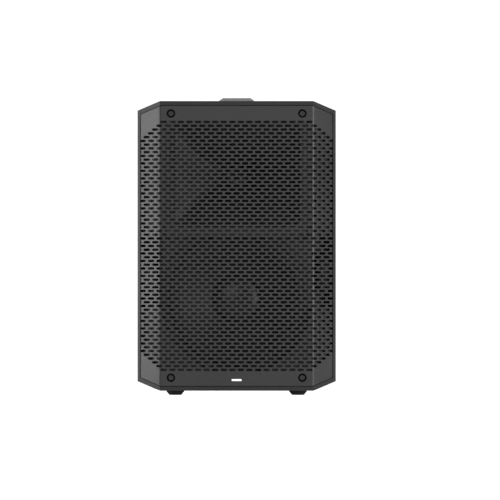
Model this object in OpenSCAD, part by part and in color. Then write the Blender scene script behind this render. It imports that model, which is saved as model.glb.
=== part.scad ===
// Two-way powered loudspeaker cabinet for public address use.
// The front faces -Y, +Z is up, and the origin is on the floor under the middle of the cabinet.
// Depths marked "behind the front" run back from the flat front face.

/* [Cabinet] */
// Overall width
cabinet_w = 278; // [270:1:340]
// Height without the feet and the handle
cabinet_h = 406; // [400:1:490]
// Overall depth
cabinet_d = 266; // [262:1:320]
// Width of the flat middle of the front
flat_w = 215; // [212:1:240]
// How far the front facets fall back
facet_d = 38; // [24:1:46]
// How far the side corners drop below the top and rise above the bottom
corner_drop = 13.2; // [6:0.1:20]
// Width across the back
rear_w = 196; // [186:1:230]
// Length of the side that is straight before it tapers
side_flat = 57; // [50:1:68]
// Thickness of the moulded walls
wall = 5; // [4:0.1:6]
// Depth of the front half, from the front to the seam
front_shell_d = 93; // [90:1:104]

/* [Grille] */
// Thickness of the perforated sheet
sheet_t = 1.5; // [1:0.1:2]
// Space between the sheet and the baffle
grille_gap = 3.5; // [3:0.1:5]
// Rim left showing beside the grille
rim_side = 3.8; // [3:0.1:8]
// Rim left showing above and below the grille
rim_edge = 5.9; // [5:0.1:9]
// Clearance all round the grille
grille_fit = 0.9; // [0.2:0.1:1]
// Length of one slot
slot_w = 17.2; // [12:0.1:20]
// Height of one slot
slot_h = 6; // [4:0.1:8]
// Spacing of the slots along a row
slot_pitch = 24; // [21:0.5:30]
// Spacing of the rows
row_pitch = 10.52; // [9:0.01:14]
// Plain band left above and below the slots
plain_band = 30; // [26:1:40]
// Grille screws from the middle of the cabinet
grille_screw_x = 92; // [80:1:96]
// Grille screws from the top and bottom edges
grille_screw_in = 17.6; // [15:0.1:20]

/* [Woofer] */
// Height of the woofer's middle above the bottom of the cabinet
woofer_rise = 128.7; // [122:0.1:136]
// Outer radius of the woofer frame
frame_r = 104; // [100:0.5:106]
// Radius of the cone at its edge
cone_r = 84; // [80:0.5:86]
// Radius of the dust cap
dust_cap_r = 31.5; // [28:0.5:36]
// Radius of the woofer magnet
magnet_r = 62; // [52:1:66]
// Thickness of the woofer magnet
magnet_t = 18; // [14:1:22]
// Depth of the cone
cone_depth = 32; // [26:1:36]
// Woofer seat behind the front
woofer_seat = 23; // [20:0.5:26]

/* [Horn] */
// Drop of the horn's middle below the top
horn_drop = 104; // [102:0.5:110]
// Half width of the horn's mouth
mouth_x = 88.5; // [80:0.5:90]
// Half height of the horn's mouth
mouth_z = 71; // [64:0.5:73]
// Radius of the throat
throat_r = 12.7; // [12:0.1:18]
// Depth of the horn
horn_depth = 73; // [66:1:80]
// Thickness of the horn's wall
horn_t = 3; // [2:0.1:4]
// Radius of the tweeter magnet
hf_magnet_r = 38; // [32:1:42]

/* [Fittings] */
// Height of the feet
foot_h = 6; // [5:0.5:10]
// Feet to each side of the middle
foot_x = 86; // [76:1:90]
// Feet in front of and behind the middle
foot_y = 86; // [80:1:92]
// Radius of the pole socket's bore
pole_r = 17.9; // [17.6:0.1:18.5]
// Depth of the pole socket's bore
pole_depth = 84; // [70:1:90]
// Pole socket behind the middle of the cabinet
pole_y = 18; // [10:1:24]
// Width of the handle cup inside
cup_w = 104; // [96:1:108]
// Length of the handle cup inside
cup_l = 124; // [110:1:130]
// Depth of the handle cup
cup_d = 42; // [36:1:46]
// Width of the handle bar
bar_w = 52; // [44:1:56]
// Thickness of the handle bar
bar_t = 17.8; // [14:0.1:20]
// How far the handle bar stands above the top
bar_proud = 4.8; // [1:0.1:6]

/* [Rear panel] */
// Width of the amplifier panel
panel_w = 150; // [146:1:156]
// Height of the amplifier panel
panel_h = 290; // [284:1:310]
// Depth of the recess that holds the panel
panel_recess = 16; // [15:0.5:20]
// Thickness of the panel
panel_t = 2.5; // [2:0.1:3]
// Radius of the gain knobs
knob_r = 9; // [7:0.5:11]
// Length of the knobs
knob_l = 10; // [8:0.5:11]
// Radius of an input socket's bore
jack_r = 11; // [10:0.5:11.5]

/* [Hidden] */
$fn = 48;

// Colours
shell_colour = [0.26, 0.26, 0.27];
dark_colour = [0.09, 0.09, 0.10];
steel_colour = [0.62, 0.63, 0.65];
zinc_colour = [0.72, 0.72, 0.70];
brass_colour = [0.74, 0.60, 0.32];
board_colour = [0.08, 0.32, 0.18];
ferrite_colour = [0.14, 0.14, 0.15];
light_colour = [0.92, 0.95, 1.00];

// Clearances: a small gap round what drops in, and the gap of a screw in its hole
drop_fit = 0.3;
screw_fit = 0.05;
soft_fit = 0.3;
over = 1;

// The cabinet's planes and angles
front_y = -cabinet_d / 2;
rear_y = cabinet_d / 2;
base_z = foot_h;
top_z = base_z + cabinet_h;
mid_z = base_z + cabinet_h / 2;
seam_y = front_y + front_shell_d;
facet_w = (cabinet_w - flat_w) / 2;
fold = atan(facet_d / facet_w);
taper_y = front_y + facet_d + side_flat;
taper = atan((cabinet_w - rear_w) / 2 / (rear_y - taper_y));
corner_slope = corner_drop / facet_w;
corner_stretch = sqrt(1 + corner_slope * corner_slope);
baffle_front = sheet_t + grille_gap;

// The baffle's steps
woofer_z = base_z + woofer_rise;
pocket_r = frame_r + 2.5;
woofer_hole_r = frame_r - 8.5;
horn_z = top_z - horn_drop;
flange_x = mouth_x + 12;
flange_top = mouth_z + 7.5;
flange_low = mouth_z + 15.5;
flange_t = 4;
horn_plate = baffle_front + flange_t;
lens_z = min(base_z + 15.1, woofer_z - pocket_r - wall - 2.1);
recess_low = woofer_z - 11.2;
recess_high = horn_z - flange_low;
port_w = 20;
port_h = 62;
port_z = (recess_low + recess_high) / 2;
port_wall = 2.5;
port_end = seam_y + 12;
port_x = min(cabinet_w / 2 - wall - 16, taper_x(port_end, wall) - port_w / 2 - port_wall - 0.9);

// Screws: shaft radius, head radius
small_r = 1.5;
screw_r = 2;
head_r = 3.5;
shell_screw_top = 11;
shell_screw_x = 68;
shell_screw_side_x = rear_w / 2 - 12;
boss_r = 6.5;
well_r = 4.6;
well_end = seam_y + 8;

// Woofer, front to back
seat_y = front_y + woofer_seat;
frame_t = 3;
flange_y = seat_y - frame_t;
gasket_t = 2;
frame_hole_r = frame_r - 11;
woofer_screw_r = frame_r - 4;
cone_y = flange_y;
cone_t = 1.2;
neck_y = cone_y + cone_depth;
coil_r = 25.2;
coil_t = 0.7;
spider_y = neck_y + 4;
spider_r = 52;
plate_y = spider_y + 13;
plate_t = 8;
magnet_y = plate_y + plate_t;
yoke_y = magnet_y + magnet_t;
yoke_t = 8;
pole_gap = 0.6;
winding_t = 0.7;

// Tweeter, front to back
horn_front = front_y + baffle_front;
throat_y = horn_front + horn_depth;
hf_plate_t = 8;
hf_magnet_y = throat_y + hf_plate_t;
hf_magnet_t = 14;
hf_yoke_y = hf_magnet_y + hf_magnet_t;
hf_yoke_t = 6;
dome_r = 16;

// Handle and pole socket
cup_t = 3;
cup_lip = 6;
cup_y = seam_y + cup_l / 2 + 10;
bar_low = top_z + bar_proud - bar_t;
bar_screw_z = min(bar_low + head_r + 0.9, top_z - wall - head_r - 0.3);
socket_t = 3;
socket_flange_r = pole_r + socket_t + 11.1;

// Bracket inserts for M8 bolts
insert_r = 3.4;
insert_body_r = 6;
insert_l = 16;
insert_y = seam_y - 22;
insert_z = recess_high + 19;

// Rear panel
panel_z = mid_z - 4;
ledge_y = rear_y - panel_recess;
gasket_y = ledge_y + 1.5;
panel_y = gasket_y + panel_t;
ledge_w = 9;
jack_z = panel_z + 116;
jack_x = 34;
knob_z = panel_z + 72;
knob_x = 40;
jack_flange = 13.5;
board_y = ledge_y - 19;
board_t = 1.6;
amp_board_y = ledge_y - 33;
inlet_z = panel_z - 116;
inlet_x = -24;
switch_x = 24;
button_z = panel_z + 40;
sink_z = panel_z - 38;
sink_h = 84;

// ---------- helpers ----------

// Extrusions with the outline drawn as (x, z), (x, y) or (y, z)
module along_y(y0, y1) {
    translate([0, y1, 0]) rotate([90, 0, 0]) linear_extrude(y1 - y0) children();
}

module along_z(z0, z1) {
    translate([0, 0, z0]) linear_extrude(z1 - z0) children();
}

module along_x(x0, x1) {
    translate([x0, 0, 0]) rotate([90, 0, 90]) linear_extrude(x1 - x0) children();
}

// A box from its two corners
module block(low, high) {
    translate(low) cube(high - low);
}

// A rod along Y, along X or along Z
module rod(x, z, y0, y1, r) {
    translate([x, y0, z]) rotate([-90, 0, 0]) cylinder(h = y1 - y0, r = r);
}

module rod_x(y, z, x0, x1, r) {
    translate([x0, y, z]) rotate([0, 90, 0]) cylinder(h = x1 - x0, r = r);
}

module rod_z(x, y, z0, z1, r) {
    translate([x, y, z0]) cylinder(h = z1 - z0, r = r);
}

// A ring along Y
module ring(x, z, y0, y1, r_in, r_out) {
    difference() {
        rod(x, z, y0, y1, r_out);
        rod(x, z, y0 - over, y1 + over, r_in);
    }
}

// A profile of (radius, y) points turned about a line along Y
module turned(x, z, profile) {
    translate([x, 0, z]) rotate([-90, 0, 0]) rotate_extrude() polygon(profile);
}

// A rectangle and a stadium about their middle, drawn as (x, z)
module slab_outline(w, h) {
    square([w, h], center = true);
}

module stadium(w, h) {
    square([w - h, h], center = true);
    for (side = [-1, 1])
        translate([side * (w - h) / 2, 0]) circle(r = h / 2);
}

// ---------- the cabinet's form ----------

// The front outline, moved in from the sides and from the top and bottom
function outline(side_in, edge_in) = let(
    hx = cabinet_w / 2 - side_in,
    hz = cabinet_h / 2 - edge_in,
    cx = flat_w / 2 - edge_in * (corner_stretch - 1) / corner_slope,
    cz = cabinet_h / 2 - edge_in * corner_stretch - corner_slope * (hx - flat_w / 2)
) [[cx, hz], [hx, cz], [hx, -cz], [cx, -hz], [-cx, -hz], [-hx, -cz], [-hx, cz], [-cx, hz]];

// A point's y on the right facet, and its x on the right taper, moved in by a distance
function facet_y(x, in) = front_y + in / cos(fold) + (x - flat_w / 2) * tan(fold);
function taper_x(y, in) = cabinet_w / 2 - in / cos(taper) - (y - taper_y) * tan(taper);

// Half of the front line, moved in, out to a given x
function skin(in, x) = [
    [flat_w / 2 - in * tan(fold / 2), front_y + in],
    [x, facet_y(x, in)]
];

function mirrored(points) = [for (i = [len(points) - 1:-1:0]) [-points[i][0], points[i][1]]];

// The outline seen from above, moved in from the front, the sides and the back
function plan(front_in, side_in, rear_in) = let(
    sx = cabinet_w / 2 - side_in,
    by = rear_y - rear_in,
    half = concat(skin(front_in, sx),
        [[sx, taper_y - side_in * tan(taper / 2)], [taper_x(by, side_in), by]])
) concat(half, mirrored(half));

module form(front_in, side_in, edge_in, rear_in) {
    intersection() {
        along_y(front_y - over, rear_y + over)
            translate([0, mid_z]) polygon(outline(side_in, edge_in));
        along_z(base_z, top_z) polygon(plan(front_in, side_in, rear_in));
    }
}

module between(y0, y1) {
    block([-cabinet_w, y0, -over], [cabinet_w, y1, 2 * cabinet_h]);
}

// Everything in front of the front line moved in by a distance, for |x| below a limit
module ahead_of(in, x) {
    half = skin(in, x);
    along_z(base_z, top_z)
        polygon(concat(half, [[x, front_y - over], [-x, front_y - over]], mirrored(half)));
}

// ---------- front half ----------

// The steps in front of the baffle, grown by a thickness
module front_steps(grow) {
    inner_x = cabinet_w / 2 - wall;
    intersection() {
        along_y(front_y - over, seam_y)
            translate([0, mid_z]) polygon(outline(rim_side - grow, rim_edge - grow));
        ahead_of(baffle_front + grow, cabinet_w / 2 - rim_side + grow);
    }
    intersection() {
        block([-inner_x, front_y - over, recess_low - grow],
            [inner_x, seam_y, recess_high + grow]);
        ahead_of(woofer_seat + grow, inner_x);
    }
    rod(0, woofer_z, front_y - over, seat_y + grow, pocket_r + grow);
    horn_pocket(grow);
}

module horn_pocket(grow) {
    side = drop_fit + grow;
    block([-flange_x - side, front_y - over, horn_z - flange_low - side],
        [flange_x + side, front_y + horn_plate + grow, horn_z + flange_top + side]);
}

// Screw bosses at the seam: four near the corners and one in the middle of each side
module at_shell_screws() {
    for (x = [-shell_screw_x, shell_screw_x])
        for (z = [base_z + shell_screw_top, top_z - shell_screw_top])
            translate([x, 0, z]) children();
    for (x = [-shell_screw_side_x, shell_screw_side_x])
        translate([x, 0, mid_z]) children();
}

module front_bosses() {
    at_shell_screws() rod(0, 0, seam_y - 26, seam_y, boss_r);
    for (side = [-1, 1])
        block([min(side * shell_screw_side_x, side * cabinet_w / 2), seam_y - 26, mid_z - 2],
            [max(side * shell_screw_side_x, side * cabinet_w / 2), seam_y, mid_z + 2]);
    for (x = [-foot_x, foot_x])
        rod_z(x, -foot_y, base_z, base_z + 18, boss_r);
    for (x = [-1, 1])
        rod_x(insert_y, insert_z, min(x * cabinet_w / 2, x * (cabinet_w / 2 - insert_l - 3)),
            max(x * cabinet_w / 2, x * (cabinet_w / 2 - insert_l - 3)), insert_body_r + 3);
    at_grille_screws() rod(0, 0, front_y + sheet_t, front_y + baffle_front + 18, boss_r);
    woofer_screw_posts();
    for (x = [-port_x, port_x])
        port_outline(x, port_z, seat_y, seam_y - 4, port_wall + 2.5);
}

module woofer_screw_posts() {
    at_woofer_screws() rod(0, 0, seat_y, seat_y + 16, 4.4);
}

module at_grille_screws() {
    for (x = [-grille_screw_x, grille_screw_x])
        for (z = [base_z + grille_screw_in + 0.8, top_z - grille_screw_in])
            translate([x, 0, z]) children();
}

module at_woofer_screws() {
    for (turn = [22.5:45:337.5])
        translate([woofer_screw_r * cos(turn), 0, woofer_z + woofer_screw_r * sin(turn)])
            children();
}

module port_outline(x, z, y0, y1, grow) {
    translate([x, 0, z]) along_y(y0, y1) rotate(90) stadium(port_h + 2 * grow, port_w + 2 * grow);
}

module front_shell() {
    color(shell_colour) difference() {
        intersection() {
            form(0, 0, 0, 0);
            between(front_y - over, seam_y);
        }
        difference() {
            intersection() {
                form(0, wall, wall, wall);
                between(front_y - over, seam_y + over);
            }
            front_steps(wall);
            front_bosses();
        }
        difference() {
            front_steps(0);
            rod(0, woofer_z, seat_y, seam_y, pocket_r);
            at_grille_screws() rod(0, 0, front_y + sheet_t + 2.5, seam_y, boss_r);
        }
        woofer_opening();
        horn_opening();
        for (x = [-port_x, port_x])
            port_outline(x, port_z, seat_y - over, seam_y + over, port_wall);
        at_shell_screws() rod(0, 0, seam_y - 22, seam_y + over, screw_r + screw_fit);
        at_woofer_screws() rod(0, 0, seat_y - over, seat_y + 14, screw_r + screw_fit);
        at_grille_screws() rod(0, 0, front_y, front_y + 21, screw_r + screw_fit);
        at_horn_screws() rod(0, 0, front_y, front_y + horn_plate + 14, screw_r + screw_fit);
        at_feet(-foot_y) rod_z(0, 0, -over, base_z + 15, screw_r + screw_fit);
        for (side = [-1, 1])
            rod_x(insert_y, insert_z, min(side * cabinet_w, side * (cabinet_w / 2 - insert_l)),
                max(side * cabinet_w, side * (cabinet_w / 2 - insert_l)), insert_body_r);
        lens_outline(front_y, seam_y, drop_fit);
    }
}

module woofer_opening() {
    rod(0, woofer_z, front_y, seam_y, woofer_hole_r);
}

module horn_opening() {
    difference() {
        block([-mouth_x - horn_t - 1, front_y, horn_z - mouth_z - horn_t - 1],
            [mouth_x + horn_t + 1, seam_y, horn_z + mouth_z + horn_t + 1]);
        difference() {
            rod(0, woofer_z, seat_y - 2, seam_y + over, pocket_r + wall);
            rod(0, woofer_z, seat_y - 3, seam_y + 2, woofer_hole_r);
        }
    }
}

// ---------- rear half ----------

module panel_pocket(grow) {
    side = drop_fit + grow;
    block([-panel_w / 2 - side, ledge_y - grow, panel_z - panel_h / 2 - side],
        [panel_w / 2 + side, rear_y + over, panel_z + panel_h / 2 + side]);
}

module at_feet(y) {
    for (x = [-foot_x, foot_x])
        translate([x, y, 0]) children();
}

module cup_box(grow, z0, z1) {
    block([-cup_w / 2 - grow, cup_y - cup_l / 2 - grow, z0],
        [cup_w / 2 + grow, cup_y + cup_l / 2 + grow, z1]);
}

module rear_bosses() {
    at_shell_screws() rod(0, 0, seam_y, rear_y, boss_r);
    at_feet(foot_y) rod_z(0, 0, base_z, base_z + 18, boss_r);
    at_pole_screws() rod_z(0, 0, base_z, base_z + 16, 5);
    at_panel_screws() rod(0, 0, ledge_y - 14, ledge_y, 4);
}

module at_pole_screws() {
    for (turn = [45:90:315])
        translate([(socket_flange_r - 5) * cos(turn), pole_y + (socket_flange_r - 5) * sin(turn), 0])
            children();
}

module at_panel_screws() {
    for (x = [-panel_w / 2 + 4.5, panel_w / 2 - 4.5])
        for (step = [-2:2])
            translate([x, 0, panel_z + step * (panel_h / 2 - 5) / 2]) children();
}

module rear_shell() {
    color(shell_colour) difference() {
        intersection() {
            form(0, 0, 0, 0);
            between(seam_y, rear_y + over);
        }
        difference() {
            intersection() {
                form(0, wall, wall, wall);
                between(seam_y - over, rear_y);
            }
            panel_pocket(wall);
            rear_bosses();
        }
        panel_pocket(0);
        block([-panel_w / 2 + ledge_w, seam_y + over, panel_z - panel_h / 2 + ledge_w],
            [panel_w / 2 - ledge_w, rear_y, panel_z + panel_h / 2 - ledge_w]);
        cup_box(cup_t + drop_fit, top_z - 2 * wall, top_z + over);
        cup_box(cup_t + cup_lip + drop_fit, top_z - 2, top_z + over);
        rod_z(0, pole_y, base_z - over, base_z + 2 * wall, pole_r + socket_t + drop_fit);
        rod_z(0, pole_y, base_z - over, base_z + 2.5, socket_flange_r + drop_fit);
        at_shell_screws() rod(0, 0, well_end, rear_y + over, well_r);
        at_shell_screws() rod(0, 0, seam_y - over, rear_y, screw_r + screw_fit);
        at_feet(foot_y) rod_z(0, 0, -over, base_z + 15, screw_r + screw_fit);
        at_pole_screws() rod_z(0, 0, base_z, base_z + 14, small_r + screw_fit);
        at_panel_screws() rod(0, 0, ledge_y - 12, ledge_y + over, small_r + screw_fit);
    }
}

// A pan head screw that points along +Y, its head's underside at the given y
module screw(y, length, r, head, head_h) {
    difference() {
        union() {
            rod(0, 0, y, y + length, r);
            rod(0, 0, y - head_h, y, head);
        }
        translate([0, y - head_h / 3, 0]) rotate([90, 0, 0]) cylinder(h = head_h, r = head * 0.55, $fn = 6);
    }
}

module shell_screws() {
    color(steel_colour) at_shell_screws()
        translate([0, well_end, 0]) mirror([0, 1, 0]) screw(0, 28, screw_r, head_r, 3);
}

// ---------- grille ----------

rows = floor((cabinet_h / 2 - plain_band) / row_pitch);

// How far out a row's slots may reach: less near the slanted corners
function row_reach(z) = min(cabinet_w / 2 - rim_side - 3,
    flat_w / 2 - 9 + max(0, cabinet_h / 2 - plain_band - abs(z)) * 1.1);

module grille_slots() {
    for (row = [-rows:rows])
        for (column = [-6:6]) {
            x = (column + (row % 2 == 0 ? 0 : 0.5)) * slot_pitch;
            if (abs(x) + slot_w / 2 < row_reach(row * row_pitch))
                translate([x, row * row_pitch]) slab_outline(slot_w, slot_h);
        }
}

module front_grille() {
    end_x = cabinet_w / 2 - rim_side - grille_fit;
    color(dark_colour) difference() {
        union() {
            intersection() {
                along_y(front_y - over, seam_y) translate([0, mid_z]) difference() {
                    polygon(outline(rim_side + grille_fit, rim_edge + grille_fit));
                    grille_slots();
                }
                difference() {
                    ahead_of(sheet_t, end_x + over);
                    ahead_of(0, end_x + over);
                }
            }
            at_grille_screws() rod(0, 0, front_y, front_y + 4, 7.7);
        }
        at_grille_screws() rod(0, 0, front_y - over, front_y + 2.5, 6.2);
        at_grille_screws() rod(0, 0, front_y - over, front_y + 5, screw_r + 0.3);
        lens_outline(front_y - over, seam_y, drop_fit);
    }
}

module grille_washers() {
    color([0.03, 0.03, 0.03]) at_grille_screws() difference() {
        rod(0, 0, front_y, front_y + 2.5, 6);
        rod(0, 0, front_y - over, front_y + 1.7, 4.2);
        rod(0, 0, front_y - over, front_y + 3, screw_r + 0.1);
    }
}

module grille_screws() {
    color(steel_colour) at_grille_screws() screw(front_y + 1.7, 17, screw_r, head_r, 1.3);
}

module lens_outline(y0, y1, grow) {
    translate([0, 0, lens_z]) along_y(y0, y1) stadium(14 + 2 * grow, 2.6 + 2 * grow);
}

module status_light_lens() {
    color(light_colour) union() {
        lens_outline(front_y, front_y + baffle_front + wall + 1, 0);
        translate([0, 0, lens_z])
            along_y(front_y + baffle_front + wall, front_y + baffle_front + wall + 2) stadium(20, 3.6);
    }
}

module status_light_board() {
    y = front_y + baffle_front + wall + 2;
    color(board_colour) union() {
        block([-13, y + 1, base_z + wall], [13, y + 2.6, lens_z + 1.7]);
        for (x = [-4, 4])
            block([x - 1.5, y, lens_z - 1.1], [x + 1.5, y + 1, lens_z + 0.9]);
    }
}

// ---------- handle, feet, pole socket, inserts ----------

module handle_cup() {
    color(dark_colour) difference() {
        union() {
            cup_box(cup_t, top_z - cup_d, top_z);
            cup_box(cup_t + cup_lip, top_z - 2, top_z);
        }
        cup_box(0, top_z - cup_d + cup_t, top_z + over);
        at_bar_screws() rod(0, 0, -cup_t - over, cup_t + over, screw_r + screw_fit);
    }
}

module at_bar_screws() {
    for (end = [-1, 1])
        for (x = [-14, 14])
            translate([x, cup_y + end * (cup_l / 2 + cup_t / 2), bar_screw_z]) children();
}

module handle_bar() {
    half = bar_w / 2;
    color([0.55, 0.55, 0.57]) difference() {
        along_y(cup_y - cup_l / 2, cup_y + cup_l / 2) polygon([
            [-half * 0.75, top_z + bar_proud], [half * 0.75, top_z + bar_proud], [half, top_z],
            [half, bar_low + 5], [half - 6, bar_low], [-half + 6, bar_low],
            [-half, bar_low + 5], [-half, top_z]]);
        at_bar_screws() rod(0, 0, -14, 14, screw_r + screw_fit);
    }
}

// Screws that hold the handle bar and the pole socket
module fixing_screws() {
    color(steel_colour) {
        for (x = [-14, 14]) {
            translate([x, 0, bar_screw_z]) {
                screw(cup_y - cup_l / 2 - cup_t, 14, screw_r, head_r, 2.4);
                translate([0, cup_y + cup_l / 2 + cup_t, 0]) mirror([0, 1, 0])
                    screw(0, 14, screw_r, head_r, 2.4);
            }
        }
        at_pole_screws() {
            rod_z(0, 0, base_z + 1, base_z + 13, small_r);
            rod_z(0, 0, base_z + 0.1, base_z + 1, 2.8);
        }
    }
}

module feet() {
    color([0.04, 0.04, 0.04]) for (y = [-foot_y, foot_y])
        at_feet(y) difference() {
            rotate_extrude() polygon([[0, 0], [8, 0], [9, 0.8], [12.5, base_z - 1.5], [12.5, base_z], [0, base_z]]);
            rod_z(0, 0, -over, base_z - 2, head_r + 0.8);
            rod_z(0, 0, -over, base_z + over, screw_r + 0.1);
        }
}

module foot_screws() {
    color(steel_colour) for (y = [-foot_y, foot_y])
        at_feet(y) {
            rod_z(0, 0, base_z - 2, base_z + 14, screw_r);
            rod_z(0, 0, base_z - 4, base_z - 2, head_r);
        }
}

module pole_socket() {
    color(dark_colour) difference() {
        union() {
            rod_z(0, pole_y, base_z, base_z + pole_depth + socket_t, pole_r + socket_t);
            rod_z(0, pole_y, base_z, base_z + 2.5, socket_flange_r);
        }
        rod_z(0, pole_y, base_z - over, base_z + pole_depth, pole_r);
        at_pole_screws() {
            rod_z(0, 0, base_z - over, base_z + 1, 3);
            rod_z(0, 0, base_z - over, base_z + 4, small_r + 0.1);
        }
    }
}

module bracket_inserts() {
    color(brass_colour) for (side = [-1, 1])
        mirror([side < 0 ? 1 : 0, 0, 0]) difference() {
            rod_x(insert_y, insert_z, cabinet_w / 2 - insert_l, cabinet_w / 2, insert_body_r);
            rod_x(insert_y, insert_z, cabinet_w / 2 - insert_l + 2, cabinet_w / 2 + over, insert_r);
        }
}

module port_tubes() {
    color(dark_colour) for (x = [-port_x, port_x])
        difference() {
            port_outline(x, port_z, port_end - 60, port_end, port_wall - 0.1);
            port_outline(x, port_z, port_end - 61, port_end + over, 0);
        }
}

module damping_pads() {
    color([0.5, 0.5, 0.48]) difference() {
        intersection() {
            form(0, wall + soft_fit, 60, 0);
            between(seam_y + 26, seam_y + 100);
        }
        form(0, wall + 12, 0, 0);
    }
}

// A wire through its points: a ring of eight corners across each point, joined into one tube
wire_sides = 8;

function wire_way(points, i) = let(
    a = points[max(i - 1, 0)], b = points[i], c = points[min(i + 1, len(points) - 1)],
    before = i == 0 ? c - b : b - a, after = i == len(points) - 1 ? b - a : c - b,
    way = before / norm(before) + after / norm(after)
) way / norm(way);

function wire_ring(points, i, r) = let(
    way = wire_way(points, i),
    flat = cross(way, [0.31, 0.17, 0.93]),
    u = flat / norm(flat),
    v = cross(way, u)
) [for (k = [0:wire_sides - 1]) points[i] + r * (cos(k * 45) * u + sin(k * 45) * v)];

module wire(points, r) {
    last = len(points) - 1;
    polyhedron(
        points = [for (i = [0:last]) each wire_ring(points, i, r)],
        faces = concat(
            [[for (k = [0:wire_sides - 1]) k]],
            [for (i = [0:last - 1]) for (k = [0:wire_sides - 1]) let(n = (k + 1) % wire_sides)
                [i * wire_sides + k, (i + 1) * wire_sides + k, (i + 1) * wire_sides + n, i * wire_sides + n]],
            [[for (k = [wire_sides - 1:-1:0]) last * wire_sides + k]]));
}

wire_y = amp_board_y - 8;
module speaker_wires() {
    for (pair = [-1, 1]) {
        color(pair < 0 ? [0.7, 0.1, 0.1] : [0.1, 0.1, 0.1]) {
            wire([[8 + pair * 3, amp_board_y, amp_low + 8], [8 + pair * 3, wire_y, amp_low + 8],
                [45 + pair * 3, pole_y, amp_low - 10], [74, plate_y, woofer_z + 8 + pair * 4],
                [74, spider_y - 8, woofer_z + 8 + pair * 4]], 1.1);
            wire([[-20 + pair * 3, amp_board_y, amp_high - 8], [-20 + pair * 3, wire_y, amp_high - 8],
                [-20 + pair * 3, hf_yoke_y + 30, horn_z + pair * 3], [hf_magnet_r + 8, hf_yoke_y + 20, horn_z + pair * 4],
                [hf_magnet_r + 2, throat_y + hf_plate_t / 2, horn_z + pair * 4]], 1.1);
        }
    }
}

// ---------- woofer ----------

module woofer_frame() {
    basket_r = spider_r + 7;
    color([0.16, 0.16, 0.17]) difference() {
        turned(0, woofer_z, [
            [frame_hole_r, flange_y], [frame_r, flange_y], [frame_r, seat_y],
            [woofer_hole_r - 0.5, seat_y], [woofer_hole_r - 2, seat_y + 6], [basket_r + 3, spider_y - 2],
            [basket_r + 3, plate_y], [coil_r + 8, plate_y], [coil_r + 8, plate_y - 3],
            [basket_r, plate_y - 3], [basket_r, spider_y + 1.5], [spider_r - 5, spider_y + 1.5],
            [spider_r - 5, spider_y], [basket_r - 1, spider_y], [woofer_hole_r - 5, seat_y + 4],
            [frame_hole_r, seat_y]]);
        for (turn = [0:60:300])
            translate([0, 0, woofer_z]) rotate([0, turn, 0])
                block([-17, seat_y + 9, basket_r - 14], [17, spider_y - 5, frame_r]);
        at_woofer_screws() rod(0, 0, flange_y - over, seat_y + over, screw_r + 0.2);
    }
}

module woofer_gasket() {
    color([0.05, 0.05, 0.05]) difference() {
        ring(0, woofer_z, flange_y - gasket_t, flange_y, frame_r - 7.2, frame_r);
        at_woofer_screws() rod(0, 0, flange_y - gasket_t - over, flange_y + over, head_r + 0.1);
    }
}

module woofer_screws() {
    color(dark_colour) at_woofer_screws() screw(flange_y, 15, screw_r, head_r - 0.2, 2.2);
}

module woofer_surround() {
    in_r = cone_r - 3;
    out_r = frame_r - 7.6;
    color([0.05, 0.05, 0.05]) turned(0, woofer_z, [
        [out_r, flange_y - 0.8], [out_r, flange_y - 0.1], [frame_hole_r + 0.5, flange_y - 0.1],
        [frame_hole_r - 3, flange_y - 4.2], [cone_r + 2, flange_y - 4.2], [cone_r, flange_y - 0.6],
        [in_r, flange_y - 0.6], [in_r, flange_y - 1.3], [cone_r - 0.6, flange_y - 1.3],
        [cone_r + 1.4, flange_y - 5], [frame_hole_r - 2.4, flange_y - 5], [frame_hole_r + 1, flange_y - 0.8]]);
}

module woofer_cone() {
    color([0.10, 0.10, 0.10]) turned(0, woofer_z, [
        [cone_r, cone_y - 0.5], [cone_r, cone_y - 0.5 + cone_t], [cone_r - 4, cone_y - 0.5 + cone_t],
        [coil_r + coil_t + 1.5, neck_y], [coil_r + coil_t + 1.5, neck_y + 5], [coil_r + coil_t, neck_y + 5],
        [coil_r + coil_t, neck_y - 2], [cone_r - 4.4, cone_y - 0.5]]);
}

function dome(r, y, rise, t) = concat(
    [for (a = [0:10:90]) [r * sin(a), y - rise * cos(a)]],
    [for (a = [90:-10:0]) [(r - t) * sin(a), y - (rise - t) * cos(a) + 0.01]]);

module woofer_dust_cap() {
    seat = cone_y - 0.5 + (cone_r - 4 - dust_cap_r) * (cone_depth + 0.5) / (cone_r - 4 - coil_r) - 1.8;
    color([0.08, 0.08, 0.08]) turned(0, woofer_z, dome(dust_cap_r, seat, 10, 0.8));
}

module woofer_voice_coil() {
    color([0.72, 0.45, 0.22]) union() {
        ring(0, woofer_z, neck_y, magnet_y + 3, coil_r, coil_r + coil_t);
        ring(0, woofer_z, plate_y - 2, magnet_y + 2, coil_r + coil_t / 2, coil_r + coil_t + winding_t);
    }
}

module woofer_spider() {
    color([0.76, 0.62, 0.30]) turned(0, woofer_z, concat(
        [for (i = [0:10]) let(r = coil_r + coil_t + 1.7 + i * (spider_r + 5 - coil_r - coil_t - 1.7) / 10)
            [r, spider_y - 1.2 - (i % 2) * (i > 8 ? 0 : 1.6)]],
        [for (i = [10:-1:0]) let(r = coil_r + coil_t + 1.7 + i * (spider_r + 5 - coil_r - coil_t - 1.7) / 10)
            [r, spider_y - 0.3 - (i % 2) * (i > 8 ? 0 : 1.6)]]));
}

module woofer_top_plate() {
    color(zinc_colour) ring(0, woofer_z, plate_y, magnet_y, coil_r + coil_t + winding_t + pole_gap, magnet_r - 3);
}

module woofer_magnet() {
    color(ferrite_colour) ring(0, woofer_z, magnet_y, yoke_y, coil_r + 9, magnet_r);
}

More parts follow.
